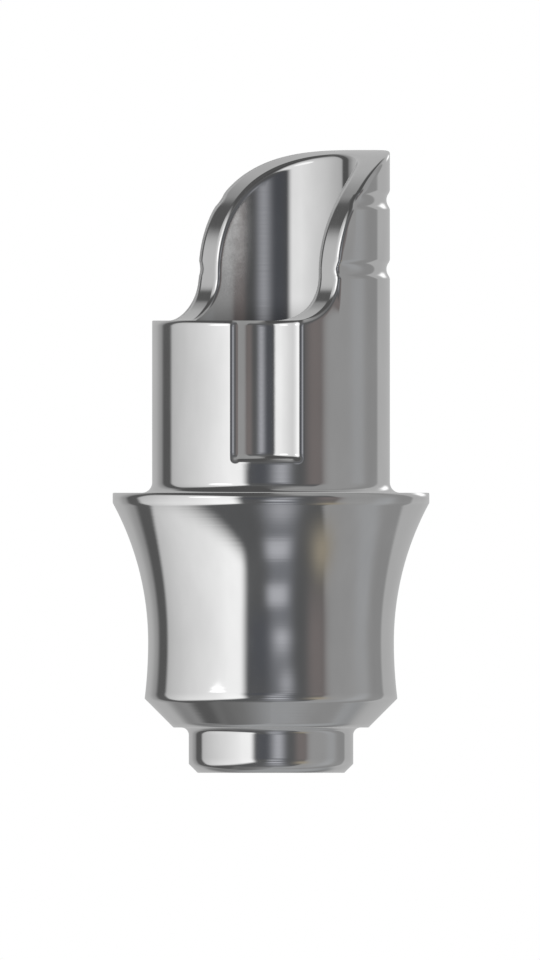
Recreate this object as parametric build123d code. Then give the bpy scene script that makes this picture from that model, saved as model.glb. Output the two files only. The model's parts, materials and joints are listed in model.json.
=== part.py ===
from build123d import *

import math
import os

# A one-piece turned dental abutment: spigot, bevelled seat, waisted cuff, flange and hollow windowed post.
# Millimetres. The origin is the centre of the spigot's end, +Z runs up the screw channel,
# and the window in the post opens towards -Y.

# Radii, each built outwards or inwards from the screw channel
channel_diameter = 3.07
post_wall = 0.605
flange_ledge = 0.71
waist_wall = 0.677
foot_flare = 0.063
shoulder_width = 0.275
spigot_wall = 0.43

# Heights, stacked upwards from the spigot's end
spigot_length = 0.815
bevel_height = 0.52
foot_height = 1.015
flare_height = 2.508
rim_height = 0.182
front_wall_height = 3.10
window_straight = 0.05

# Seat for the retaining screw, at the bottom of the channel
screw_land = 1.715
screw_countersink = 0.06
seat_angle = 45.0

# Bevel, hollow corners and broken edges
bevel_angle = 45.0
spigot_chamfer = 0.16
spigot_fillet = 0.135
post_fillet = 0.187
edge_round = 0.08

# Window cut across the post: its back plane, the corner above its sill and the sweep up to the top
window_back = -0.065
window_corner = 0.81
crown_radius = 2.21

# Two ring grooves round the post, counted down from its top
groove_radius = 0.20
groove_depth = 0.061
groove_drop = 0.90
groove_pitch = 1.245
groove_count = 2

# Anti-rotation slot down the front wall, milled with a round cutter
slot_cutter_diameter = 1.58
slot_depth = 0.32
slot_floor_height = 0.612
slot_floor_round = 0.06
slot_azimuth = 51.7

# How far cutting tools reach past the metal
overrun = 1.0

channel_radius = channel_diameter / 2
post_radius = channel_radius + post_wall
flange_radius = post_radius + flange_ledge
waist_radius = channel_radius + waist_wall
platform_radius = waist_radius + foot_flare
bevel_root_radius = platform_radius - bevel_height * math.tan(math.radians(bevel_angle))
spigot_radius = bevel_root_radius - shoulder_width
screw_radius = spigot_radius - spigot_wall

platform_z = spigot_length + bevel_height
waist_z = platform_z + foot_height
rim_z = waist_z + flare_height
flange_z = rim_z + rim_height
sill_z = flange_z + front_wall_height
crown_z = sill_z + window_corner + window_straight
top_z = crown_z + crown_radius
slot_floor_z = flange_z + slot_floor_height


def rounded(section, corner, radius):
    """The section with its corner nearest to a point rounded."""
    nearest = section.vertices().sort_by_distance(corner)[0]
    return fillet(nearest, radius)


def outer_section():
    """Half of the outside's section, X as radius and Y as height, up to a blank post."""
    with BuildSketch() as sketch:
        with BuildLine():
            Polyline(
                (waist_radius, waist_z),
                (0, waist_z),
                (0, 0),
                (spigot_radius - spigot_chamfer, 0),
                (spigot_radius, spigot_chamfer),
                (spigot_radius, spigot_length),
                (bevel_root_radius, spigot_length),
                (platform_radius, platform_z),
            )
            TangentArc((waist_radius, waist_z), (platform_radius, platform_z), tangent=(0, -1))
        make_face()
        with BuildLine():
            TangentArc((waist_radius, waist_z), (flange_radius, rim_z), tangent=(0, 1))
            Polyline(
                (flange_radius, rim_z),
                (flange_radius, flange_z),
                (post_radius, flange_z),
                (post_radius, top_z + overrun),
                (0, top_z + overrun),
                (0, waist_z),
                (waist_radius, waist_z),
            )
        make_face()
    rim_round = min(edge_round, rim_height / 2)
    section = sketch.sketch
    section = rounded(section, (spigot_radius, spigot_length), spigot_fillet)
    section = rounded(section, (platform_radius, platform_z), edge_round)
    section = rounded(section, (flange_radius, rim_z), rim_round)
    section = rounded(section, (flange_radius, flange_z), rim_round)
    section = rounded(section, (post_radius, flange_z), post_fillet)
    return section


def turned_blank():
    """The turned outside, solid and without its ring grooves."""
    return revolve(Plane.YZ * outer_section(), Axis.Z)


def ring_grooves():
    """The round-bottomed grooves to be cut round the post."""
    ring = Torus(post_radius + groove_radius - groove_depth, groove_radius)
    return [Pos(0, 0, top_z - groove_drop - index * groove_pitch) * ring for index in range(groove_count)]


def screw_channel():
    """The hole through the piece: screw hole, conical seat and wide channel to the top."""
    seat_height = (channel_radius - screw_radius) / math.tan(math.radians(seat_angle))
    with BuildSketch() as sketch:
        with BuildLine():
            Polyline(
                (0, -overrun),
                (screw_radius + screw_countersink + overrun, -overrun),
                (screw_radius, screw_countersink),
                (screw_radius, screw_land),
                (channel_radius, screw_land + seat_height),
                (channel_radius, top_z + overrun),
                (0, top_z + overrun),
                close=True,
            )
        make_face()
    return revolve(Plane.YZ * sketch.sketch, Axis.Z)


def window_cutter():
    """All that is taken off the post above its sill, swept straight across it."""
    reach = flange_radius + overrun
    centre_y = window_back + crown_radius
    with BuildSketch() as sketch:
        with BuildLine():
            Line((-reach, sill_z), (window_back - window_corner, sill_z))
            RadiusArc(
                (window_back - window_corner, sill_z),
                (window_back, sill_z + window_corner),
                -window_corner,
            )
            Line((window_back, sill_z + window_corner), (window_back, crown_z))
            RadiusArc((window_back, crown_z), (centre_y, top_z), crown_radius)
            Polyline(
                (centre_y, top_z),
                (centre_y + reach, top_z),
                (centre_y + reach, top_z + 2 * overrun),
                (-reach, top_z + 2 * overrun),
                (-reach, sill_z),
            )
        make_face()
    return extrude(Plane.YZ * sketch.sketch, reach, both=True)


def slot_cutter():
    """The round cutter's path: down the front wall, with a flat end at the slot's floor."""
    radius = slot_cutter_diameter / 2
    distance = post_radius + radius - slot_depth
    angle = math.radians(slot_azimuth)
    height = sill_z + overrun - slot_floor_z
    place = Pos(distance * math.sin(angle), -distance * math.cos(angle), slot_floor_z)
    cutter = Cylinder(radius, height, align=(Align.CENTER, Align.CENTER, Align.MIN))
    cutter = fillet(cutter.edges().sort_by(Axis.Z)[0], slot_floor_round)
    return place * cutter


def abutment():
    """The finished piece: bored, milled, its milled edges broken, and grooved last."""
    bored = turned_blank() - screw_channel()
    window, slot = window_cutter(), slot_cutter()
    milled = bored - window - slot
    piece = fillet(new_edges(bored, window, slot, combined=milled), edge_round)
    for groove in ring_grooves():
        piece -= groove
    return piece


os.makedirs("parts", exist_ok=True)
export_step(abutment(), "parts/abutment.step")
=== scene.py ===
import json
import logging
import math
from dataclasses import dataclass, field
from enum import Enum
from typing import Callable

import bpy
import numpy as np
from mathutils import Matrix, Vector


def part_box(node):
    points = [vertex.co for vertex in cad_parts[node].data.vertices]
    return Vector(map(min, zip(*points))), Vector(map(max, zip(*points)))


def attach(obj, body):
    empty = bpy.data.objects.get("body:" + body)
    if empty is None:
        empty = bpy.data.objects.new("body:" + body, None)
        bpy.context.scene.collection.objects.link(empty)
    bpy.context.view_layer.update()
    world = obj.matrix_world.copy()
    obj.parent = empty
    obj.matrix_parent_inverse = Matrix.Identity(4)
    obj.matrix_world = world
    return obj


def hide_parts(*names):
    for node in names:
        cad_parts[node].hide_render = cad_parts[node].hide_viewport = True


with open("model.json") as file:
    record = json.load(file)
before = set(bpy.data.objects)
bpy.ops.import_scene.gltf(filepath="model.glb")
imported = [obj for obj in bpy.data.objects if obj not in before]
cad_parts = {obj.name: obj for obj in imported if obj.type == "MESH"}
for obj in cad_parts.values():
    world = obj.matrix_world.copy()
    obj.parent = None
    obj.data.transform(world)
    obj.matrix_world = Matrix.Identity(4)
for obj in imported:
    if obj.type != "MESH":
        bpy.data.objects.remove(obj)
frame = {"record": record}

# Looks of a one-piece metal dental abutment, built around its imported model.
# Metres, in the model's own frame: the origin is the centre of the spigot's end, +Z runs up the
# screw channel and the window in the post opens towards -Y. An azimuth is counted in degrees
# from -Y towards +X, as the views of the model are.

logging.basicConfig(level=logging.INFO, format="%(message)s")
LOG = logging.getLogger("abutment")

MM = 0.001
# Lengths that count as nothing, and as one and the same point
TINY = 1e-6 * MM
MERGED = 1e-5 * MM
# How finely edges, blends and curves are cut up
EDGE_STATIONS = 5
BLEND_STATIONS = 15
FINE_STEPS = 4000
HALVINGS = 50
# Turns the second of two values round, and points along it
FLIP = np.array([1.0, -1.0])
UPRIGHT = np.array([0.0, 1.0])
Array = np.ndarray
Pair = tuple[float, float]
Triple = tuple[float, float, float]
Socket = bpy.types.NodeSocket

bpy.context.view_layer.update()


class Finish(Enum):
    """The three ways in which the metal's skin was made; the value is the mesh's material index."""

    TURNED = 0
    MILLED = 1
    BORED = 2


@dataclass(frozen=True)
class Patch:
    """A grid of points on the metal's skin.

    points and normals are rows x columns x 3, wear is rows x columns and tells how much an edge is
    rubbed bright there, from 0 to 1.
    """

    points: Array
    normals: Array
    wear: Array
    finish: Finish


def unit(vectors: Array) -> Array:
    """Returns the vectors scaled to length one along their last axis."""
    return vectors / np.maximum(np.linalg.norm(vectors, axis=-1, keepdims=True), 1e-12)


def polar(radius: Array | float, azimuth: Array | float) -> Array:
    """Returns x and y of points at a radius and an azimuth in radians: (r sin a, -r cos a)."""
    return np.stack(np.broadcast_arrays(radius * np.sin(azimuth), -radius * np.cos(azimuth)), axis=-1)


def lifted(plan: Array, height: Array | float) -> Array:
    """Points or directions made of an X and Y, or another pair, and a third value."""
    return np.concatenate([plan, np.broadcast_to(height, plan.shape[:-1])[..., None]], axis=-1)


def nearness(distance: Array, reach: Array | float) -> Array:
    """How much a surface at a distance sways the outward direction: (1 - |d| / reach)^1.5."""
    return np.clip(1 - np.abs(distance) / reach, 0, 1) ** 1.5


def travelled(points: Array) -> Array:
    """The length along a polyline at each of its points."""
    return np.concatenate([[0.0], np.cumsum(np.linalg.norm(np.diff(points, axis=0), axis=1))])


def turn_from(bearing: Array | float, centre: float) -> Array | float:
    """Degrees from a centre bearing to a bearing, from -180 to 180."""
    return (bearing - centre + 180) % 360 - 180


def lean_of(direction: Array) -> float:
    """The angle in degrees of a direction in an outline, from the outward one towards +Z."""
    return math.degrees(math.atan2(direction[1], direction[0]))


def halfway(start: Array, end: Array, share: Array) -> Array:
    """Turns unit vectors from start to end by a share of the angle between them.

    Args:
        start: unit vectors, columns x 3.
        end: unit vectors, columns x 3.
        share: rows of shares from 0 to 1.

    Returns:
        Rows x columns x 3: (sin((1-s)a) start + sin(s a) end) / sin(a), a being their angle.
    """
    angle = np.arccos(np.clip((start * end).sum(-1, keepdims=True), -1, 1))
    part = share[:, None, None]
    return (np.sin((1 - part) * angle) * start + np.sin(part * angle) * end) / np.sin(angle)


def even_steps(curve: Callable[[Array], Array], start: float, end: float, count: int) -> Array:
    """Parameters that step evenly along a curve's length.

    Args:
        curve: gives points, n x 3, for n parameters.
        start: first parameter.
        end: last parameter.
        count: how many parameters.

    Returns:
        The parameters: the length of a fine polyline is divided evenly and read back.
    """
    fine = end + (start - end) * (1 - np.sin(np.linspace(0, math.pi / 2, FINE_STEPS)))
    length = travelled(curve(fine))
    return np.interp(np.linspace(0, length[-1], count), length, fine)


@dataclass
class Outline:
    """Stations along a turned outline: radius, height and the outward direction at each."""

    stations: list[Array] = field(default_factory=list)
    edges: dict[int, float] = field(default_factory=dict)

    def line(self, start: Pair, end: Pair, count: int = 2) -> "Outline":
        """Adds a straight stretch from one radius and height to another, the metal on its left.

        Args:
            start: its first point.
            end: its last point.
            count: number of stations.

        Returns:
            The outline itself.
        """
        share = np.linspace(0, 1, count)[:, None]
        points = np.array(start) * (1 - share) + np.array(end) * share
        travel = unit(np.array(end) - np.array(start))
        normals = np.broadcast_to([travel[1], -travel[0]], points.shape)
        self.stations.append(np.hstack([points, normals]))
        return self

    def arc(self, centre: Pair, radius: float, start: float, end: float, count: int,
            hollow: bool = False) -> "Outline":
        """Adds a round stretch.

        Args:
            centre: radius and height of the arc's centre.
            radius: the arc's own radius.
            start: first angle in degrees, from the outward direction towards +Z.
            end: last angle in degrees.
            count: number of stations.
            hollow: the metal lies outside the arc.

        Returns:
            The outline itself.
        """
        angle = np.radians(np.linspace(start, end, count))
        spoke = np.stack([np.cos(angle), np.sin(angle)], axis=1)
        self.stations.append(np.hstack([np.array(centre) + radius * spoke, -spoke if hollow else spoke]))
        return self

    def edge(self, centre: Pair, radius: float, start: float, end: float,
             share_before: float = 1.0) -> "Outline":
        """Adds an edge's small round, an arc that softened() finds; share_before shortens its first side."""
        self.edges[len(self.stations)] = share_before
        return self.arc(centre, radius, start, start + turn_from(end, start), EDGE_STATIONS)

    def path(self, *points: Pair, edge: float) -> "Outline":
        """Adds straight stretches through points, with an edge at each point between two of them.

        Args:
            points: radius and height of each point.
            edge: the radius of the edges.

        Returns:
            The outline itself. An edge's centre lies inside its corner by
            edge (n + m) / (1 + n.m), n and m being the outward directions before and after it.
        """
        corners = np.array(points)
        travel = unit(np.diff(corners, axis=0))
        out = np.stack([travel[:, 1], -travel[:, 0]], axis=1)
        start = corners[0]
        for corner, before, after in zip(corners[1:-1], out[:-1], out[1:]):
            centre = corner - edge * (before + after) / (1 + before @ after)
            self.line(tuple(start), tuple(centre + edge * before))
            self.edge(tuple(centre), edge, *(lean_of(normal) for normal in (before, after)))
            start = centre + edge * after
        return self.line(tuple(start), tuple(corners[-1]))

    def rows(self) -> Array:
        """All stations, in order: radius, height, outward radius and outward height."""
        return np.vstack(self.stations)

    def softened(self, reach: float) -> tuple[Array, Array]:
        """All stations, with the outward directions blended on both sides of every edge.

        Args:
            reach: how far from an edge the blend goes.

        Returns:
            The stations, with more of them near the edges, and the rubbing at each. A station at a
            distance d along the outline from an edge adds (1 - d / reach)^1.5 times the direction
            on the edge's other side to its own.
        """
        rows = self.rows()
        first = np.cumsum([0] + [len(part) for part in self.stations])
        length = travelled(rows[:, :2])
        middles = [(length[first[k]] + length[first[k + 1] - 1]) / 2 for k in self.edges]
        near = [middle + reach * np.linspace(-1, 1, BLEND_STATIONS) for middle in middles]
        places = np.unique(np.clip(np.concatenate([length, *near]), 0, length[-1]))
        places = places[np.append(np.diff(places) > 10 * MERGED, True)]
        refined = np.stack([np.interp(places, length, rows[:, k]) for k in range(4)], axis=1)
        total = refined[:, 2:].copy()
        wear = np.zeros(len(places))
        for (k, share), middle in zip(self.edges.items(), middles):
            before, after = rows[first[k], 2:], rows[first[k + 1] - 1, 2:]
            ahead = (places < middle)[:, None]
            inside = (places > length[first[k]]) & (places < length[first[k + 1] - 1])
            total[inside] = np.where(ahead, before, after)[inside]
            weight = nearness(places - middle, np.where(places < middle, share * reach, reach))
            total += weight[:, None] * np.where(ahead, after, before)
            wear = np.maximum(wear, weight)
        return np.hstack([refined[:, :2], unit(total)]), wear


def circle_on_line(far: Pair, reach: float, point: Array, travel: Array) -> Array:
    """Where a line meets a circle, nearest to the line's given point.

    Args:
        far: the circle's centre.
        reach: the circle's radius.
        point: a point of the line.
        travel: the line's unit direction.

    Returns:
        The meeting point: point + s travel, s solving |point + s travel - far| = reach.
    """
    offset = point - np.array(far)
    along = float(offset @ travel)
    root = math.sqrt(along**2 - float(offset @ offset) + reach**2)
    shift = min((-along - root, -along + root), key=abs)
    return point + shift * travel


@dataclass(frozen=True)
class Sizes:
    """The abutment's sizes. Those that the frame gives are read from its mounts and its box."""

    post_radius: float
    channel_radius: float
    screw_radius: float
    spigot_radius: float
    flange_radius: float
    top: float
    waist_radius: float = 2.212 * MM
    platform_radius: float = 2.275 * MM
    spigot_length: float = 0.815 * MM
    spigot_chamfer: float = 0.16 * MM
    spigot_fillet: float = 0.135 * MM
    bevel_height: float = 0.52 * MM
    waist_height: float = 2.35 * MM
    rim_height: float = 4.858 * MM
    flange_height: float = 5.04 * MM
    post_fillet: float = 0.187 * MM
    edge: float = 0.02 * MM
    soft: float = 0.115 * MM
    seat_height: float = 1.715 * MM
    countersink: float = 0.06 * MM
    sill_height: float = 8.14 * MM
    window_back: float = -0.065 * MM
    window_corner: float = 0.81 * MM
    window_straight: float = 0.05 * MM
    crown_radius: float = 2.21 * MM
    groove_radius: float = 0.20 * MM
    groove_depth: float = 0.061 * MM
    groove_lip: float = 0.03 * MM
    groove_heights: tuple[float, ...] = (9.065 * MM, 10.31 * MM)
    cutter_radius: float = 0.79 * MM
    slot_depth: float = 0.32 * MM
    slot_floor: float = 5.652 * MM
    slot_floor_round: float = 0.06 * MM
    slot_azimuth: float = math.radians(51.7)

    @property
    def seat_top(self) -> float:
        """Height at which the screw's 45 degree seat meets the channel."""
        return self.seat_height + (self.channel_radius - self.screw_radius)

    @classmethod
    def from_frame(cls, record: dict, node: str) -> "Sizes":
        """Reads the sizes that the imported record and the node's box state.

        Args:
            record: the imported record.
            node: the piece's CAD node.

        Returns:
            The sizes.
        """
        radius = {mount["name"]: mount["dims"]["r_mm"] * MM for mount in record["mounts"] if mount["dims"]}
        low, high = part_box(node)
        return cls(
            post_radius=radius["cement_post"],
            channel_radius=radius["screw_channel"],
            screw_radius=radius["screw_hole"],
            spigot_radius=radius["implant_spigot"],
            flange_radius=float(high.y - low.y) / 2,
            top=float(high.z),
        )


@dataclass(frozen=True)
class Window:
    """The cut that opens the post: one outline in the YZ plane, swept straight along X.

    A station is the length along the outline, counted from the end of its level sill: negative on
    the sill, then up the hollow corner, the short upright and the swept crown.
    """

    sizes: Sizes

    @property
    def corner(self) -> Array:
        """Y and Z of the hollow corner's centre."""
        return np.array([self.sizes.window_back, self.sizes.sill_height]) - self.sizes.window_corner * FLIP

    @property
    def crown(self) -> Array:
        """Y and Z of the centre of the crown's sweep."""
        s = self.sizes
        return np.array([s.window_back + s.crown_radius, self.corner[1] + s.window_straight])

    @property
    def corner_end(self) -> float:
        """Station where the hollow corner meets the upright."""
        return self.sizes.window_corner * math.pi / 2

    @property
    def crown_start(self) -> float:
        """Station where the crown's sweep starts."""
        return self.corner_end + self.sizes.window_straight

    def at(self, station: Array, depth: float) -> tuple[Array, Array]:
        """Points at a depth inside the metal below the window's face.

        Args:
            station: stations along the outline.
            depth: distance below the face.

        Returns:
            Points and outward directions, both n x 2, as Y and Z: each stretch is a line or an arc
            of its own radius, moved by the depth against its outward direction.
        """
        s = self.sizes
        (corner_y, corner_z), crown_z = self.corner, self.crown[1]
        bend = np.clip(station, 0, self.corner_end) / s.window_corner
        sweep = np.maximum(station - self.crown_start, 0) / s.crown_radius
        stretches = [station < 0, station < self.corner_end, station < self.crown_start]
        y = np.select(
            stretches, [corner_y + station, corner_y + s.window_corner * np.sin(bend), s.window_back],
            s.window_back + s.crown_radius * (1 - np.cos(sweep)))
        z = np.select(
            stretches,
            [s.sill_height, corner_z - s.window_corner * np.cos(bend), corner_z + station - self.corner_end],
            crown_z + s.crown_radius * np.sin(sweep))
        out_y = np.select(stretches, [0.0, -np.sin(bend), -1.0], -np.cos(sweep))
        out_z = np.select(stretches, [1.0, np.cos(bend), 0.0], np.sin(sweep))
        normals = np.stack([out_y, out_z], axis=-1)
        return np.stack([y, z], axis=-1) - depth * normals, normals

    def rise(self, y: Array, z: Array) -> tuple[Array, Array]:
        """How far points lie outside the window's face, and the face's outward direction there.

        Args:
            y: the points' Y.
            z: the points' Z.

        Returns:
            Distances, negative inside the metal, and directions as Y and Z. Over the sill and
            before the upright they are plain differences, and round the hollow corner and the
            crown they are measured from the arc's centre.
        """
        s = self.sizes
        place = np.stack([y, z], axis=-1)
        to_corner, from_crown = self.corner - place, place - self.crown
        places = [y < self.corner[0], z < self.corner[1], z < self.crown[1]]
        height = np.select(
            places,
            [z - s.sill_height, s.window_corner - np.linalg.norm(to_corner, axis=-1), s.window_back - y],
            np.linalg.norm(from_crown, axis=-1) - s.crown_radius)
        outward = np.select(
            [part[..., None] for part in places],
            [UPRIGHT, unit(to_corner), np.array([-1.0, 0.0])], unit(from_crown))
        return height, outward

    def station_below(self, y: Array, depth: float) -> Array:
        """Stations on the sill or the hollow corner whose point at that depth has this Y."""
        past = y - self.corner[0]
        reach = np.clip(past / (self.sizes.window_corner + depth), 0, 1)
        return np.where(past < 0, past, self.sizes.window_corner * np.arcsin(reach))


@dataclass(frozen=True)
class Slot:
    """The upright slot down the front wall, in its own directions: u across it and w outwards."""

    sizes: Sizes
    wall_columns: int = 22
    lip_columns: int = 5
    slot_columns: int = 27
    last_columns: int = 8

    @property
    def distance(self) -> float:
        """From the post's axis to the cutter's."""
        return self.sizes.post_radius + self.sizes.cutter_radius - self.sizes.slot_depth

    def section(self, inset: Array, end_azimuth: float) -> Array:
        """The front wall's level section, from straight ahead to past the slot.

        Args:
            inset: rows of distances inside the wall.
            end_azimuth: where the section ends.

        Returns:
            Points, rows x columns x 2, as u and w. The wall keeps one radius, the slot is an arc
            round the cutter's axis, and between them the small edge runs through the points at
            radius R - e + m cos t and cutter distance c + e - m sin t, t from 0 to 90 degrees.
            The columns crowd together towards the two edges.
        """
        s, d = self.sizes, self.distance
        depth = inset[:, None]
        e = np.maximum(depth, s.edge)
        m = np.maximum(s.edge - depth, 0)
        turn = np.linspace(0, math.pi / 2, self.lip_columns)[None, :]
        ring = s.post_radius - e + m * np.cos(turn)
        reach = s.cutter_radius + e - m * np.sin(turn)
        swing = np.arccos((ring**2 + d**2 - reach**2) / (2 * ring * d))
        lip = polar(ring, swing) * FLIP

        first = swing[:, :1]
        crowded = 1 - (1 - np.linspace(0, 1, self.wall_columns)[None, :]) ** 2
        left = -s.slot_azimuth + (s.slot_azimuth - first) * crowded
        right = first + (end_azimuth - s.slot_azimuth - first) * np.linspace(0, 1, self.last_columns)
        walls = [polar(s.post_radius - depth, azimuth) * FLIP for azimuth in (left, right)]

        inner = s.cutter_radius + depth
        ring_end, reach_end = ring[:, -1:], reach[:, -1:]
        half = np.arccos((d**2 + reach_end**2 - ring_end**2) / (2 * d * reach_end))
        angle = half * np.sin(math.pi / 2 * np.linspace(-1, 1, self.slot_columns)[None, :])
        hollow = np.stack([inner * np.sin(angle), d - inner * np.cos(angle)], axis=-1)
        return np.concatenate([walls[0], -lip * FLIP, hollow, lip[:, ::-1], walls[1]], axis=1)

    def milled(self) -> slice:
        """The section's columns that the cutter made."""
        return slice(self.wall_columns, self.wall_columns + 2 * self.lip_columns + self.slot_columns)

    def level(self, plan: Array) -> Array:
        """Turns u and w into X and Y: w along the slot's azimuth, u across it."""
        a = self.sizes.slot_azimuth
        across, outwards = np.array([math.cos(a), math.sin(a)]), polar(1.0, a)
        return plan[..., :1] * across + plan[..., 1:] * outwards

    def across(self, points: Array) -> tuple[Array, Array]:
        """The u and w of points given as X, Y and Z."""
        a = self.sizes.slot_azimuth
        return (points[..., 0] * math.cos(a) + points[..., 1] * math.sin(a),
                points[..., 0] * math.sin(a) - points[..., 1] * math.cos(a))

    def surfaces(self, points: Array) -> list[tuple[Array, Array]]:
        """How far points are from the slot's round wall and from its floor, with their directions."""
        u, w = self.across(points)
        toward = np.stack([-u, self.distance - w], axis=-1)
        wall = np.linalg.norm(toward, axis=-1) - self.sizes.cutter_radius
        floor = self.sizes.slot_floor - points[..., 2]
        wall_out = lifted(self.level(unit(toward)), 0.0)
        return [(np.hypot(wall, np.maximum(floor, 0)), wall_out),
                (np.hypot(floor, np.maximum(wall, 0)), np.broadcast_to([0.0, 0.0, 1.0], wall_out.shape))]

    def skin(self, u: Array, w: Array, z: Array) -> Array:
        """How far a point lies outside the slotted wall, negative inside the metal.

        The wall and the cutter are distances; a round maximum of radius q joins two of them as
        min(max(a+q, b+q), 0) + |(a+q)+, (b+q)+| - q, once for the cutter's rounded lower edge and
        once for the slot's edge.
        """
        s = self.sizes
        wall = np.hypot(u, w) - s.post_radius
        cutter = round_maximum(np.hypot(u, w - self.distance) - s.cutter_radius, s.slot_floor - z,
                               s.slot_floor_round)
        return round_maximum(wall, -cutter, s.edge)

    def foot(self, plan: Array, low: float, high: float, share: Array) -> Array:
        """The wall round the slot's floor, found along lines that climb outwards at 45 degrees.

        Args:
            plan: the section at the upper level, columns x 2, as u and w.
            low: the lower level, on the plain wall.
            high: the upper level.
            share: rows of shares from the lower level to the upper.

        Returns:
            Points, rows x columns x 3. Along each line z - w stays the same, and halving the
            line's span finds where skin() is zero.
        """
        u = np.broadcast_to(plan[:, 0], (len(share), len(plan)))
        plain = np.sqrt(self.sizes.post_radius**2 - plan[:, 0]**2)
        climb = (low - plain) + ((high - plan[:, 1]) - (low - plain)) * share[:, None]
        inside, outside = np.full(climb.shape, low - self.sizes.slot_depth), np.full(climb.shape, high + MM)
        for _ in range(HALVINGS):
            middle = (inside + outside) / 2
            metal = self.skin(u, middle - climb, middle) < 0
            inside, outside = np.where(metal, middle, inside), np.where(metal, outside, middle)
        z = (inside + outside) / 2
        return lifted(self.level(np.stack([u, z - climb], axis=-1)), z)


def round_maximum(a: Array, b: Array, radius: Array | float) -> Array:
    """The larger of two distances, with the corner between them rounded to a radius."""
    ra, rb = a + radius, b + radius
    return np.minimum(np.maximum(ra, rb), 0) + np.hypot(np.maximum(ra, 0), np.maximum(rb, 0)) - radius


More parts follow.
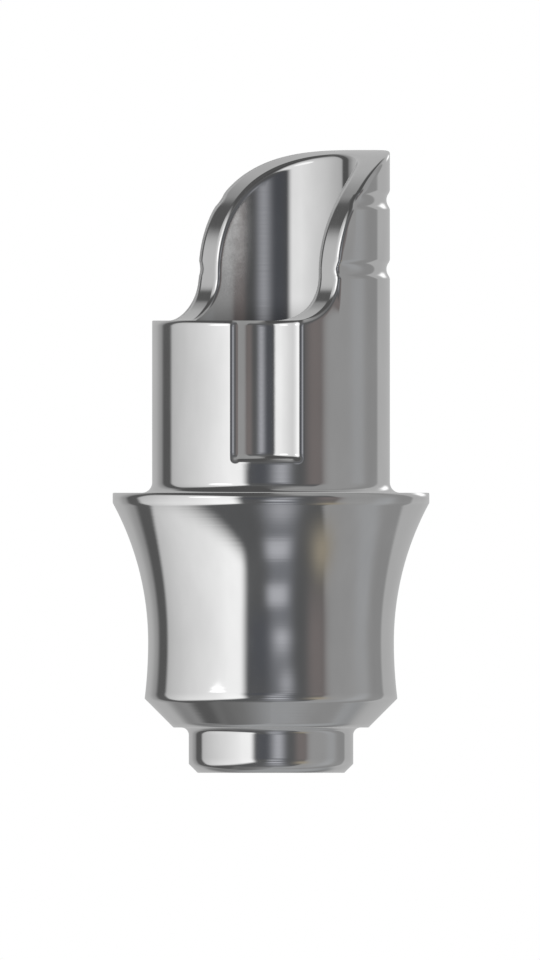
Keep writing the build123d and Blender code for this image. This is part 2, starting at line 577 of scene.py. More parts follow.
@dataclass
class Abutment:
    """The one-piece metal abutment: its whole skin as grids of points, joined into one mesh.

    The columns over the sill end at the azimuth section_end, and evenness is how far those at the
    inner edge are spaced evenly and not as the outer ones are. The slot's floor lies between
    foot_low and foot_high. The outside's grid and the hole's both reach end_margin into the
    spigot's flat end. rim_share shortens the blend below the flange's lower edge.
    """

    sizes: Sizes
    round_rows: int = 5
    top_rows: int = 9
    face_rows: int = 15
    sill_columns: int = 36
    corner_columns: int = 14
    crown_columns: int = 64
    section_end: float = math.radians(72.0)
    evenness: float = 0.4
    foot_rows: int = 44
    seat_rows: int = 12
    bore_rows: int = 34
    fillet_stations: int = 9
    cuff_stations: int = 26
    neck_stations: int = 13
    lip_stations: int = 6
    groove_stations: int = 17
    foot_low: float = 5.45 * MM
    foot_high: float = 5.95 * MM
    end_margin: float = 0.06 * MM
    rim_share: float = 0.5

    def __post_init__(self) -> None:
        """Prepares the two cuts, the post's outline and the columns round the post."""
        self.window = Window(self.sizes)
        self.slot = Slot(self.sizes)
        self.post = self.post_outline()
        slotted, plain = self.half_columns(True), self.half_columns(False)
        self.columns = {}
        for key, half in slotted.items():
            other = plain[key]
            if other.ndim > 1:
                other = np.column_stack([-other[:, 0], other[:, 1:]])
            self.columns[key] = np.concatenate([half, other[::-1]])

    def hollow_sweep(self, end: Pair, start: Array, travel: Array) -> tuple[Pair, float, Array, float]:
        """The hollow arc that leaves the waist upright, and the edge that ends it.

        Args:
            end: radius and height of the arc's end.
            start: a point of the line that the edge's centre lies on.
            travel: that line's unit direction.

        Returns:
            The arc's centre and radius, the edge's centre, and the direction from there to the
            arc's centre in degrees. For a rise h and a flare f the radius is (h^2 + f^2) / 2f.
        """
        s = self.sizes
        flare, rise = end[0] - s.waist_radius, end[1] - s.waist_height
        radius = (rise**2 + flare**2) / (2 * flare)
        centre = (s.waist_radius + radius, s.waist_height)
        ball = circle_on_line(centre, radius + s.edge, start, travel)
        return centre, radius, ball, lean_of(unit(np.array(centre) - ball))

    def foot_outline(self) -> tuple[Array, Array]:
        """The turned outside, from the spigot's end to below the slot's floor, and its rubbing."""
        s = self.sizes
        shoulder = s.platform_radius - s.bevel_height
        platform = (s.platform_radius, s.spigot_length + s.bevel_height)
        down_and_out, up_and_out = unit(FLIP), unit(np.array([1.0, 1.0]))
        foot_centre, foot_radius, ball, lean = self.hollow_sweep(
            platform, np.array(platform) - s.edge * down_and_out, up_and_out)
        flare_centre, flare_radius, rim_ball, rim_lean = self.hollow_sweep(
            (s.flange_radius, s.rim_height), np.array([s.flange_radius - s.edge, s.rim_height]), UPRIGHT)
        fillet = (s.post_radius + s.post_fillet, s.flange_height + s.post_fillet)
        ledge = s.spigot_radius + s.spigot_fillet
        end = s.spigot_radius - s.spigot_chamfer
        outline = Outline()
        outline.path((end - self.end_margin, 0), (end, 0), (s.spigot_radius, s.spigot_chamfer),
                     (s.spigot_radius, s.spigot_length - s.spigot_fillet), edge=s.edge)
        outline.arc((ledge, s.spigot_length - s.spigot_fillet), s.spigot_fillet, 180, 90,
                    self.fillet_stations, hollow=True)
        outline.path((ledge, s.spigot_length), (shoulder, s.spigot_length),
                     tuple(ball + s.edge * down_and_out), edge=s.edge)
        outline.edge(tuple(ball), s.edge, -45, lean)
        outline.arc(foot_centre, foot_radius, 180 + lean, 180, self.fillet_stations, hollow=True)
        outline.arc(flare_centre, flare_radius, 180, 180 + rim_lean, self.cuff_stations, hollow=True)
        outline.edge(tuple(rim_ball), s.edge, rim_lean, 0, share_before=self.rim_share)
        outline.path((s.flange_radius, rim_ball[1]), (s.flange_radius, s.flange_height),
                     (fillet[0], s.flange_height), edge=s.edge)
        outline.arc(fillet, s.post_fillet, -90, -180, self.neck_stations, hollow=True)
        outline.line((s.post_radius, fillet[1]), (s.post_radius, self.foot_low))
        return outline.softened(s.soft)

    def hole_outline(self) -> Array:
        """The hole through the piece, from the channel's lower end down to the spigot's end."""
        s = self.sizes
        mouth = s.screw_radius + s.countersink
        return Outline().path(
            (s.channel_radius, s.seat_top), (s.screw_radius, s.seat_height), (s.screw_radius, s.countersink),
            (mouth, 0), (mouth + self.end_margin, 0), edge=s.edge).rows()

    def post_outline(self) -> Array:
        """The post's upright outline with its ring grooves and their narrow rounded lips.

        A groove is an arc of the round tool whose axis stands outside the wall; the lip runs
        through radius R - q(1 - cos t) and tool distance g + q(1 - sin t), t from 0 to 90 degrees.
        """
        s = self.sizes
        tool = s.post_radius + s.groove_radius - s.groove_depth
        turn = np.linspace(0, math.pi / 2, self.lip_stations)
        ring = s.post_radius - s.groove_lip * (1 - np.cos(turn))
        reach = s.groove_radius + s.groove_lip * (1 - np.sin(turn))
        rise = np.sqrt(reach**2 - (tool - ring) ** 2)
        spoke = unit(np.stack([tool - ring, rise], axis=1))
        lip = np.stack([ring, -rise], axis=1)
        lip_normal = unit(np.outer(np.cos(turn), [1.0, 0.0]) + np.sin(turn)[:, None] * spoke)
        half = math.asin(rise[-1] / s.groove_radius)
        angle = np.linspace(-half, half, self.groove_stations)
        hollow = np.stack([tool - s.groove_radius * np.cos(angle), s.groove_radius * np.sin(angle)], axis=1)
        hollow_normal = np.stack([np.cos(angle), -np.sin(angle)], axis=1)
        lower = np.hstack([lip, lip_normal])
        upper = (lower * np.tile(FLIP, 2))[::-1]
        groove = np.vstack([lower, np.hstack([hollow, hollow_normal])[1:-1], upper])
        outline = Outline()
        outline.line((s.post_radius, self.foot_high), (s.post_radius, s.sill_height - s.edge), 3)
        for height in s.groove_heights:
            outline.stations.append(groove + np.array([0, height, 0, 0]))
        outline.line((s.post_radius, s.groove_heights[-1] + rise[0]), (s.post_radius, s.top))
        rows = outline.rows()
        levels = np.unique(np.concatenate([rows[:, 1], [self.window.corner[1], self.window.crown[1]]]))
        order = np.argsort(rows[:, 1], kind="stable")
        return np.stack([np.interp(levels, rows[order, 1], rows[order, k]) for k in range(4)], axis=1)

    def half_columns(self, slotted: bool) -> dict[str, Array]:
        """The columns of one half of the post, from straight ahead round to the back.

        Args:
            slotted: the half that has the slot, towards +X.

        Returns:
            For each column the wall's X and Y with its normal, and for the outer and the inner edge
            of the window the centre of the rolling ball that rounds it, its station along the
            window's outline and the window's own outward direction there.
        """
        s, window = self.sizes, self.window
        ball_radius, inner_radius = s.post_radius - s.edge, s.channel_radius + s.edge
        if slotted:
            wall, ball = self.slot.level(self.slot.section(np.array([0.0, s.edge]), self.section_end))
        else:
            azimuth = np.linspace(0, self.section_end, self.sill_columns)
            wall, ball = polar(s.post_radius, azimuth), polar(ball_radius, azimuth)
        front = window.station_below(ball[:, 1], s.edge)
        inner_end_y = window.at(front[-1:], s.edge)[0][0, 0]
        follow = np.arctan2(ball[:, 0], -ball[:, 1]) / self.section_end
        spread = self.evenness * np.linspace(0, 1, len(front)) + (1 - self.evenness) * follow
        inner_front = polar(inner_radius, math.acos(-inner_end_y / inner_radius) * spread)

        def edge_line(radius: float) -> Callable[[Array], Array]:
            """The path of the ball that rolls along the window's edge on a cylinder of a radius."""
            def path(station: Array) -> Array:
                y, z = window.at(station, s.edge)[0].T
                return np.stack([np.sqrt(np.maximum(radius**2 - y**2, 0)), y, z], axis=1)
            return path

        def crown(radius: float) -> Array:
            """Stations up the crown to the back of a cylinder of that radius."""
            sweep = math.acos((window.crown[0] - radius) / (s.crown_radius - s.edge))
            end = window.crown_start + s.crown_radius * sweep
            return even_steps(edge_line(radius), window.crown_start, end, self.crown_columns)

        corner = np.linspace(front[-1], window.corner_end, self.corner_columns)[1:]
        columns = {}
        for name, radius, first_xy, first_station in (
            ("", ball_radius, ball, front),
            ("inner_", inner_radius, inner_front, window.station_below(inner_front[:, 1], s.edge)),
        ):
            swept = np.concatenate([corner, crown(radius)])
            station = np.concatenate([first_station, swept])
            yz, out = window.at(station, s.edge)
            xy = np.vstack([first_xy, edge_line(radius)(swept)[:, :2]])
            xy[-1, 0] = 0.0
            columns[name + "station"] = station
            columns[name + "ball"] = np.column_stack([xy, yz[:, 1]])
            columns[name + "face_normal"] = np.column_stack([np.zeros(len(out)), out])
        swept_normal = unit(columns["ball"][len(front):, :2])
        columns["wall_normal"] = np.vstack([(wall - ball) / s.edge, swept_normal])
        columns["wall"] = np.vstack([wall, s.post_radius * swept_normal])
        return columns

    def turned(self, outline: Array, azimuth: Array, wear: Array | float = 0.0) -> Patch:
        """An outline carried round the axis.

        Args:
            outline: stations as radius, height, outward radius and outward height.
            azimuth: the columns' azimuths.
            wear: rubbing at each station.

        Returns:
            The patch: (r sin a, -r cos a, z) for every station and azimuth.
        """
        radius, height, out, up = (outline[:, k, None] for k in range(4))
        points, normals = lifted(polar(radius, azimuth), height), lifted(polar(out, azimuth), up)
        spread = np.broadcast_to(np.reshape(wear, (-1, 1)), points.shape[:2])
        return Patch(points, normals, spread, Finish.TURNED)

    def front_plan(self) -> Array:
        """The front wall's level section at its full radius, as u and w."""
        return self.slot.section(np.array([0.0]), self.section_end)[0]

    def azimuths(self) -> tuple[Array, Array]:
        """Azimuths of the columns at the foot of the outside and at the foot of the channel."""
        plans = self.columns["wall"], self.columns["inner_ball"]
        outer, inner = (np.arctan2(plan[:, 0], -plan[:, 1]) for plan in plans)
        front = slice(0, self.slot.milled().stop)
        across = self.front_plan()[front, 0]
        outer[front] = self.sizes.slot_azimuth + np.arcsin(across / self.sizes.post_radius)
        return outer, inner

    def direction(self, points: Array) -> tuple[Array, Array]:
        """Outward directions of the post's skin, softened near its edges.

        Args:
            points: points on the skin.

        Returns:
            The directions, and how much the skin is rubbed. The grooved wall, the window's face,
            the channel and the slot's two surfaces each add their own outward direction times
            their nearness to the point.
        """
        s = self.sizes
        radius = np.hypot(points[..., 0], points[..., 1])
        spoke = points[..., :2] / radius[..., None]
        limit, out, up = (np.interp(points[..., 2], self.post[:, 1], self.post[:, k]) for k in (0, 2, 3))
        height, face = self.window.rise(points[..., 1], points[..., 2])
        surfaces = [
            (radius - limit, lifted(spoke * out[..., None], up)),
            (height, np.concatenate([np.zeros(radius.shape + (1,)), face], axis=-1)),
            (radius - s.channel_radius, lifted(-spoke, 0.0)),
            *self.slot.surfaces(points),
        ]
        weights = [nearness(distance, s.soft) for distance, _ in surfaces]
        total = sum(weight[..., None] * outward for weight, (_, outward) in zip(weights, surfaces))
        return unit(total), np.clip(sum(weights) - 1, 0, 1)

    def edge_patch(self, inner: bool) -> Patch:
        """The small round between the window's face and a wall.

        Args:
            inner: the edge at the channel, not the one at the outside.

        Returns:
            The patch: a ball's centre plus its radius along directions that turn from the wall's
            normal to the face's. At the outside each row also follows the slot's section, and
            wherever the ring grooves are deeper it is taken in to their radius.
        """
        s = self.sizes
        share = np.linspace(0, 1, self.round_rows)
        name = "inner_" if inner else ""
        ball, face = self.columns[name + "ball"], self.columns[name + "face_normal"]
        across = -unit(ball[:, :2]) if inner else self.columns["wall_normal"]
        points = ball + s.edge * halfway(lifted(across, 0.0), face, share)
        if not inner:
            turn = share * math.pi / 2
            plan = self.slot.section(s.edge * (1 - np.cos(turn)), self.section_end)
            count = plan.shape[1]
            points[:, :count, :2] += self.slot.level(plan) - (
                ball[:count, :2] + s.edge * np.cos(turn)[:, None, None] * across[:count])
            points = self.grooved(points, share)
        return Patch(points, *self.direction(points), Finish.MILLED)

    def grooved(self, points: Array, share: Array) -> Array:
        """Takes an edge's points in to the post's outline where they stand outside it.

        Args:
            points: rows of points.
            share: for each row how much it belongs to the window's face, from 0 to 1.

        Returns:
            The points: at the wall they move towards the axis, at the face along X.
        """
        radius = np.hypot(points[..., 0], points[..., 1])
        limit = np.interp(points[..., 2], self.post[:, 1], self.post[:, 0])
        cut = (radius > limit + TINY) & (limit < self.sizes.post_radius - TINY)
        inwards = points[..., :2] * (limit / radius)[..., None]
        along = np.sqrt(np.maximum(limit**2 - points[..., 1]**2, 0)) * np.sign(points[..., 0])
        part = share[:, None, None]
        moved = inwards * (1 - part) + np.stack([along, points[..., 1]], axis=-1) * part
        return lifted(np.where(cut[..., None], moved, points[..., :2]), points[..., 2])

    def climbing(self, levels: Array, top: Array) -> Array:
        """Levels of every column: the given ones, then close steps that follow the column's top."""
        below = top - self.sizes.soft
        steps = below + self.sizes.soft * np.linspace(0, 1, self.top_rows)[:, None]
        return np.vstack([np.minimum(levels[:, None], below), steps])

    def wall_patches(self) -> list[Patch]:
        """The post's outside: the wall round the slot's floor, then straight up to the window's edge."""
        s = self.sizes
        azimuth, _ = self.azimuths()
        plan = self.front_plan()
        line = Outline().line((s.post_radius, self.foot_low), (s.post_radius, self.foot_high), self.foot_rows)
        foot = self.turned(line.rows(), azimuth).points
        share = np.linspace(0, 1, self.foot_rows)
        foot[:, :len(plan)] = self.slot.foot(plan, self.foot_low, self.foot_high, share)

        level = self.climbing(self.post[:, 1], self.columns["ball"][:, 2])
        radius = np.interp(level, self.post[:, 1], self.post[:, 0])
        upper = lifted(self.columns["wall"] * (radius / s.post_radius)[..., None], level)
        points = np.concatenate([foot, upper])
        normals, wear = self.direction(points)
        cut = self.slot.milled()
        spans = [(slice(0, cut.start), Finish.TURNED), (slice(cut.start - 1, cut.stop + 1), Finish.MILLED),
                 (slice(cut.stop, points.shape[1]), Finish.TURNED)]
        return [Patch(points[:, span], normals[:, span], wear[:, span], finish) for span, finish in spans]

    def face_patch(self) -> Patch:
        """The window's face between its two rounded edges.

        Returns:
            The patch: stations and X run from the outer edge to the inner one, in steps that are
            close near both, and each point lies on the window's outline.
        """
        share = (1 - np.cos(math.pi * np.linspace(0, 1, self.face_rows)))[:, None] / 2
        station = self.columns["station"] * (1 - share) + self.columns["inner_station"] * share
        outer = self.edge_patch(False).points[-1]
        x = outer[:, 0] * (1 - share) + self.columns["inner_ball"][:, 0] * share
        yz, _ = self.window.at(station.ravel(), 0.0)
        points = np.column_stack([x.ravel(), yz]).reshape(*station.shape, 3)
        points[0] = outer
        return Patch(points, *self.direction(points), Finish.MILLED)

    def channel_patch(self) -> Patch:
        """The channel's wall, from its seat up to the window's inner edge."""
        s = self.sizes
        inner = self.columns["inner_ball"]
        levels = np.concatenate([np.linspace(s.seat_top, s.sill_height - s.edge - s.soft, self.seat_rows),
                                 np.linspace(s.sill_height - s.soft, s.top, self.bore_rows)])
        level = self.climbing(levels, inner[:, 2])
        points = lifted(np.broadcast_to(unit(inner[:, :2]) * s.channel_radius, level.shape + (2,)), level)
        return Patch(points, *self.direction(points), Finish.BORED)

    def patches(self) -> list[Patch]:
        """Every patch of the skin, together closed."""
        azimuth, inner_azimuth = self.azimuths()
        outline, wear = self.foot_outline()
        hole = self.hole_outline()
        hole_end, foot_start = self.turned(hole[-1:], inner_azimuth), self.turned(outline[:1], azimuth)
        end = Patch(np.concatenate([hole_end.points, foot_start.points]),
                    np.concatenate([hole_end.normals, foot_start.normals]),
                    np.zeros((2, len(azimuth))), Finish.TURNED)
        return [
            self.turned(hole, inner_azimuth),
            end,
            self.turned(outline, azimuth, wear),
            *self.wall_patches(),
            self.edge_patch(False),
            self.face_patch(),
            self.edge_patch(True),
            self.channel_patch(),
        ]

    def build(self) -> bpy.types.Object:
        """Joins the patches into one closed mesh with the exact outward directions.

        Returns:
            The object, at the origin.
        """
        quads, corners, corner_normals, corner_wear, finishes = [], [], [], [], []
        start = 0
        for patch in self.patches():
            quad = grid_quads(patch)
            quads.append(quad + start)
            corners.append(patch.points.reshape(-1, 3))
            corner_normals.append(patch.normals.reshape(-1, 3))
            corner_wear.append(patch.wear.ravel())
            finishes.append(np.full(len(quad), patch.finish.value))
            start += patch.points.shape[0] * patch.points.shape[1]
        points, normals = np.vstack(corners), np.vstack(corner_normals)
        return skin_object("abutment_metal", points, normals, np.concatenate(corner_wear),
                           np.vstack(quads), np.concatenate(finishes))


def placed(name: str, data: bpy.types.ID) -> bpy.types.Object:
    """Makes an object of its data and links it to the scene."""
    made = bpy.data.objects.new(name, data)
    bpy.context.scene.collection.objects.link(made)
    return made


def grid_quads(patch: Patch) -> Array:
    """Corner numbers of a patch's quads, turned so that they face outwards.

    Args:
        patch: the grid.

    Returns:
        Quads x 4. The columns of a patch that goes right round close on themselves.
    """
    rows, columns = patch.points.shape[:2]
    number = np.arange(rows * columns).reshape(rows, columns)
    quads = np.stack([number[:-1, :-1], number[:-1, 1:], number[1:, 1:], number[1:, :-1]], axis=-1)
    quads = quads.reshape(-1, 4)
    flat, normals = patch.points.reshape(-1, 3), patch.normals.reshape(-1, 3)
    across = flat[quads[:, 2]] - flat[quads[:, 0]]
    along = flat[quads[:, 3]] - flat[quads[:, 1]]
    facing = (np.cross(across, along) * normals[quads].sum(axis=1)).sum()
    return quads if facing > 0 else quads[:, ::-1]


def skin_object(name: str, points: Array, normals: Array, wear: Array, quads: Array,
                finishes: Array) -> bpy.types.Object:
    """Makes a mesh of quads whose equal points are merged.

    Args:
        name: the object's name.
        points: grid points x 3.
        normals: outward directions at the grid points.
        wear: rubbing at the grid points.
        quads: corner numbers, four to a quad.
        finishes: material index of each quad.

    Returns:
        The object. A quad that has lost one corner becomes a triangle, and one that has lost two
        is left out. Each corner keeps the direction that its own patch gave it.
    """
    snapped = np.round(points / MERGED).astype(np.int64)
    _, first, merged = np.unique(snapped, axis=0, return_index=True, return_inverse=True)
    index = merged.ravel()[quads]
    kept = index != np.roll(index, -1, axis=1)
    kept &= ~((index == np.roll(index, 2, axis=1)) & (np.arange(4) > 1))
    sides = kept.sum(axis=1)
    used = sides >= 3
    quads, index, kept, sides, finishes = quads[used], index[used], kept[used], sides[used], finishes[used]
    loops = index[kept]
    mesh = bpy.data.meshes.new(name)
    mesh.vertices.add(len(first))
    mesh.vertices.foreach_set("co", points[first].astype(np.float32).ravel())
    mesh.loops.add(len(loops))
    mesh.loops.foreach_set("vertex_index", loops.astype(np.int32))
    mesh.polygons.add(len(sides))
    mesh.polygons.foreach_set("loop_start", np.concatenate([[0], np.cumsum(sides)[:-1]]).astype(np.int32))
    mesh.polygons.foreach_set("material_index", finishes.astype(np.int32))
    mesh.update(calc_edges=True)
    mesh.validate()
    mesh.shade_smooth()
    mesh.normals_split_custom_set(normals[quads[kept]].astype(np.float32))
    attribute = mesh.attributes.new("wear", "FLOAT", "POINT")
    attribute.data.foreach_set("value", wear[first].astype(np.float32))
    return placed(name, mesh)


@dataclass(frozen=True)
class Marks:
    """How one way of making leaves the metal.

    pitch and depth are those of the tool's lines, which run round the axis or else along X. The
    roughness runs from clean to smudged metal, and smudge is the size of the smudges.
    """

    name: str
    around: bool
    pitch: float
    depth: float
    clean: float
    smudged: float
    smudge: float
    in_channel: bool = False


FINISHES = {
    Finish.TURNED: Marks("turned_metal", True, 0.045 * MM, 0.02 * MM, 0.06, 0.10, 0.9 * MM),
    Finish.MILLED: Marks("milled_metal", False, 0.060 * MM, 0.02 * MM, 0.07, 0.11, 0.6 * MM),
    Finish.BORED: Marks("bored_metal", True, 0.070 * MM, 0.03 * MM, 0.05, 0.09, 0.7 * MM, in_channel=True),
}


class Nodes:
    """A node tree with short ways to add and link its nodes."""

    def __init__(self, tree: bpy.types.NodeTree) -> None:
        """Takes an empty tree."""
        self.tree = tree

    @classmethod
    def of(cls, owner: bpy.types.Material | bpy.types.World) -> "Nodes":
        """Switches on the nodes of a material or a world.

        Args:
            owner: the material or the world.

        Returns:
            Its nodes, emptied.
        """
        owner.use_nodes = True
        owner.node_tree.nodes.clear()
        return cls(owner.node_tree)

    def add(self, kind: str, inputs: dict[str | int, object] | None = None,
            **settings: object) -> bpy.types.Node:
        """Adds a node.

        Args:
            kind: the node's type.
            inputs: for each input a socket to link or a plain value.
            settings: properties of the node.

        Returns:
            The node.
        """
        node = self.tree.nodes.new(kind)
        for name, value in settings.items():
            setattr(node, name, value)
        for key, value in (inputs or {}).items():
            if isinstance(value, Socket):
                self.tree.links.new(value, node.inputs[key])
            else:
                node.inputs[key].default_value = value
        return node

    def place(self) -> Socket:
        """Adds a Texture Coordinate node and returns its object coordinates."""
        return self.add("ShaderNodeTexCoord").outputs["Object"]

    def math(self, operation: str, *values: object) -> Socket:
        """Adds a Math node and returns its result."""
        return self.add("ShaderNodeMath", dict(enumerate(values)), operation=operation).outputs[0]

    def vector(self, operation: str, *values: object) -> Socket:
        """Adds a Vector Math node and returns its vector, or the length that it measures."""
        node = self.add("ShaderNodeVectorMath", dict(enumerate(values)), operation=operation)
        return node.outputs["Value" if operation == "LENGTH" else 0]

    def noise(self, vector: Socket, scale: float, detail: float,
              roughness: float = 0.5) -> Socket:
        """Adds a Noise Texture node and returns its factor."""
        inputs = {"Vector": vector, "Scale": scale, "Detail": detail, "Roughness": roughness}
        return self.add("ShaderNodeTexNoise", inputs).outputs["Fac"]

    def ramp(self, value: Socket, low: float, high: float, start: object, end: object,
             kind: str = "SMOOTHSTEP") -> Socket:
        """Adds a Map Range node that carries low and high to start and end, and returns its result."""
        inputs = dict(enumerate((value, low, high, start, end)))
        return self.add("ShaderNodeMapRange", inputs, interpolation_type=kind).outputs[0]


def new_group(name: str, inputs: dict[str, float],
              outputs: dict[str, str]) -> tuple[Nodes, dict[str, Socket], bpy.types.Node]:
    """Starts a shader node group with number inputs.

    Args:
        name: the group's name.
        inputs: names and default values.
        outputs: names and socket types.

    Returns:
        Its nodes, its input sockets by name and its output node.
    """
    tree = bpy.data.node_groups.new(name, "ShaderNodeTree")
    for key, value in inputs.items():
        tree.interface.new_socket(key, in_out="INPUT", socket_type="NodeSocketFloat").default_value = value
    for key, kind in outputs.items():
        tree.interface.new_socket(key, in_out="OUTPUT", socket_type=kind)
    nodes = Nodes(tree)
    source = nodes.add("NodeGroupInput")
    return nodes, {key: source.outputs[key] for key in inputs}, nodes.add("NodeGroupOutput")


# How smudges are drawn out, and the noise that smudges, tone and clouds start and end at
SMUDGE_STRETCH = (1.0, 1.0, 0.45)
SMUDGE_SPAN = (0.42, 0.68)
TONE_SPAN = (0.3, 0.7)
CLOUD_SPAN = (0.34, 0.68)


def tool_lines_group() -> bpy.types.NodeTree:
    """Height of fine tool lines: noise drawn out round the axis, or along X on milled faces.

    Around 1 reads (distance from the axis, 0, z) and Around 0 reads (0, y, z), both divided by the
    pitch, so that the noise changes only across the lines.
    """
    nodes, source, out = new_group("tool_lines", {"Pitch": 0.05 * MM, "Around": 1.0},
                                   {"Height": "NodeSocketFloat"})
    axes = nodes.add("ShaderNodeSeparateXYZ", {0: nodes.place()})
    x, y, z = (axes.outputs[k] for k in range(3))
    ring = nodes.math("SQRT", nodes.math("ADD", nodes.math("MULTIPLY", x, x), nodes.math("MULTIPLY", y, y)))
    across = nodes.add("ShaderNodeMix", {"Factor": source["Around"], "A": y, "B": ring}, data_type="FLOAT")
    vector = nodes.add("ShaderNodeCombineXYZ", {0: nodes.math("DIVIDE", across.outputs[0], source["Pitch"]),
                                                2: nodes.math("DIVIDE", z, source["Pitch"])})
    nodes.tree.links.new(nodes.noise(vector.outputs[0], 1.0, 2.0), out.inputs["Height"])
    return nodes.tree


def smudge_group() -> bpy.types.NodeTree:
    """Roughness and a faint tone from soft smudges: a noise that is drawn out along the axis."""
    nodes, source, out = new_group("smudges", {"Size": 1 * MM, "Clean": 0.13, "Smudged": 0.2},
                                   {"Roughness": "NodeSocketFloat", "Tone": "NodeSocketFloat"})
    drawn_out = nodes.vector("MULTIPLY", nodes.place(), SMUDGE_STRETCH)
    tone = nodes.noise(nodes.vector("DIVIDE", drawn_out, source["Size"]), 1.0, 3.0, 0.6)
    roughness = nodes.ramp(tone, *SMUDGE_SPAN, source["Clean"], source["Smudged"])
    nodes.tree.links.new(roughness, out.inputs["Roughness"])
    nodes.tree.links.new(tone, out.inputs["Tone"])
    return nodes.tree


@dataclass(frozen=True)
class ChannelPaintedShadeAndPatch:
    """Painted shade and a pale patch inside the channel.

    Painted shade darkens the channel's metal, as less light gets down there: bright is the share of its grey
    that is left from window_height up, and dark the share from sill_height down. A grainy patch lies on the
    back wall beside the window's edge. It is a soft ball from core to rim, drawn out along the axis by
    stretch, with clouds of size grain. It takes shine off the metal by depth and makes it whiter, and an edge
    that is rubbed by worn has lost it.
    """

    sill_height: float = 7.9 * MM
    window_height: float = 8.6 * MM
    dark: float = 0.42
    bright: float = 0.86
    centre: Triple = (-1.527 * MM, 0.155 * MM, 9.75 * MM)
    core: float = 0.12 * MM
    rim: float = 0.54 * MM
    stretch: float = 3.2
    grain: float = 0.22 * MM
    thinnest: float = 0.55
    depth: float = 0.95
    whiter: float = 0.27
    worn: float = 0.25

    def light(self, nodes: Nodes) -> Socket:
        """Painted shade: the share of the light that is left at each height, multiplied into the grey, darker
        towards the bottom.
        """
        height = nodes.add("ShaderNodeSeparateXYZ", {0: nodes.place()}).outputs[2]
        return nodes.ramp(height, self.sill_height, self.window_height, self.dark, self.bright)

    def pale_patch(self, nodes: Nodes, wear: Socket) -> Socket:
        """How thick the pale patch is.

        Args:
            nodes: the material's nodes.
            wear: how rubbed the metal is.

        Returns:
            The ball times the clouds, times what the rubbing has left.
        """
        place = nodes.place()
        offset = nodes.vector("SUBTRACT", place, self.centre)
        far = nodes.vector("LENGTH", nodes.vector("MULTIPLY", offset, (1.0, 1.0, 1.0 / self.stretch)))
        ball = nodes.ramp(far, self.core, self.rim, 1.0, 0.0)
        clouds = nodes.noise(place, 1.0 / self.grain, 6.0, 0.75)
        thick = nodes.ramp(clouds, *CLOUD_SPAN, self.thinnest, 1.0, "LINEAR")
        left = nodes.ramp(wear, 0.0, self.worn, self.depth, 0.0, "LINEAR")
        return nodes.math("MULTIPLY", nodes.math("MULTIPLY", ball, thick), left)


@dataclass(frozen=True)
class Metal:
    """The metal's finishes, with its greys, what rubbing adds to them and how strong its tool lines are."""

    darkest: float = 0.69
    brightest: float = 0.75
    rubbing: float = 0.06
    line_strength: float = 0.015
    # The painted shade and the pale patch inside the channel
    channel: ChannelPaintedShadeAndPatch = ChannelPaintedShadeAndPatch()

    def material(self, marks: Marks, lines_tree: bpy.types.NodeTree,
                 smudges_tree: bpy.types.NodeTree) -> bpy.types.Material:
        """Makes one finish.

        Args:
            marks: what its tool left.
            lines_tree: the shared group of tool lines.
            smudges_tree: the shared group of smudges.

        Returns:
            The material: smudges vary the roughness and the tone a little, edges are rubbed
            brighter, and the tool's lines are a faint bump.
        """
        made = bpy.data.materials.new(marks.name)
        nodes = Nodes.of(made)
        smudges = nodes.add(
            "ShaderNodeGroup", {"Size": marks.smudge, "Clean": marks.clean, "Smudged": marks.smudged},
            node_tree=smudges_tree).outputs
        lines = nodes.add(
            "ShaderNodeGroup", {"Pitch": marks.pitch, "Around": float(marks.around)},
            node_tree=lines_tree).outputs
        wear = nodes.add("ShaderNodeAttribute", attribute_name="wear").outputs["Fac"]
        tone = nodes.ramp(smudges["Tone"], *TONE_SPAN, self.darkest, self.brightest, "LINEAR")
        grey = nodes.math("ADD", tone, nodes.math("MULTIPLY", wear, self.rubbing))
        metallic = 1.0
        if marks.in_channel:
            # A grainy patch on the back wall is made whiter and less shiny
            pale_patch = self.channel.pale_patch(nodes, wear)
            metallic = nodes.math("SUBTRACT", 1.0, pale_patch)
            whiter = nodes.math("ADD", grey, nodes.math("MULTIPLY", pale_patch, self.channel.whiter))
            # Painted shade: the channel's grey is darkened, more towards its bottom
            grey = nodes.math("MULTIPLY", whiter, self.channel.light(nodes))
        colour = nodes.add("ShaderNodeCombineColor", {0: grey, 1: grey, 2: grey})
        bump = nodes.add("ShaderNodeBump", {
            "Height": lines["Height"], "Strength": self.line_strength, "Distance": marks.depth})
        shader = nodes.add("ShaderNodeBsdfPrincipled", {
            "Base Color": colour.outputs[0], "Metallic": metallic,
            "Roughness": smudges["Roughness"], "Normal": bump.outputs[0]})
        nodes.add("ShaderNodeOutputMaterial", {"Surface": shader.outputs[0]})
        return made

    def dress(self, piece: bpy.types.Object) -> None:
        """Gives a piece the finishes in the order of their mesh indices."""
        groups = tool_lines_group(), smudge_group()
        for finish in Finish:
            piece.data.materials.append(self.material(FINISHES[finish], *groups))


VIEW_AZIMUTH = math.radians(54.0)
TO_CAMERA = lifted(polar(1.0, VIEW_AZIMUTH), 0.0)
TO_RIGHT = np.array([math.cos(VIEW_AZIMUTH), math.sin(VIEW_AZIMUTH), 0.0])
UP = np.array([0.0, 0.0, 1.0])


@dataclass(frozen=True)
class PhotoCamera:
    """A level camera without perspective, as the photograph has none that can be seen.

    height is what the picture's long side takes in; right and up are where the picture's centre
    lies from the axis and from the spigot's end.
    """

    height: float = 17.28 * MM
    right: float = -0.018 * MM
    up: float = 5.270 * MM
    distance: float = 60 * MM

    def place(self) -> None:
        """Makes the camera and sets it as the scene's."""
        data = bpy.data.cameras.new("photo_camera")
        data.type = "ORTHO"
        data.ortho_scale = self.height
        data.clip_start = 1 * MM
        data.clip_end = 1.0
        camera = placed("photo_camera", data)
        camera.location = tuple(self.right * TO_RIGHT + self.distance * TO_CAMERA + self.up * UP)
        camera.rotation_euler = (math.pi / 2, 0.0, VIEW_AZIMUTH)
        bpy.context.scene.camera = camera


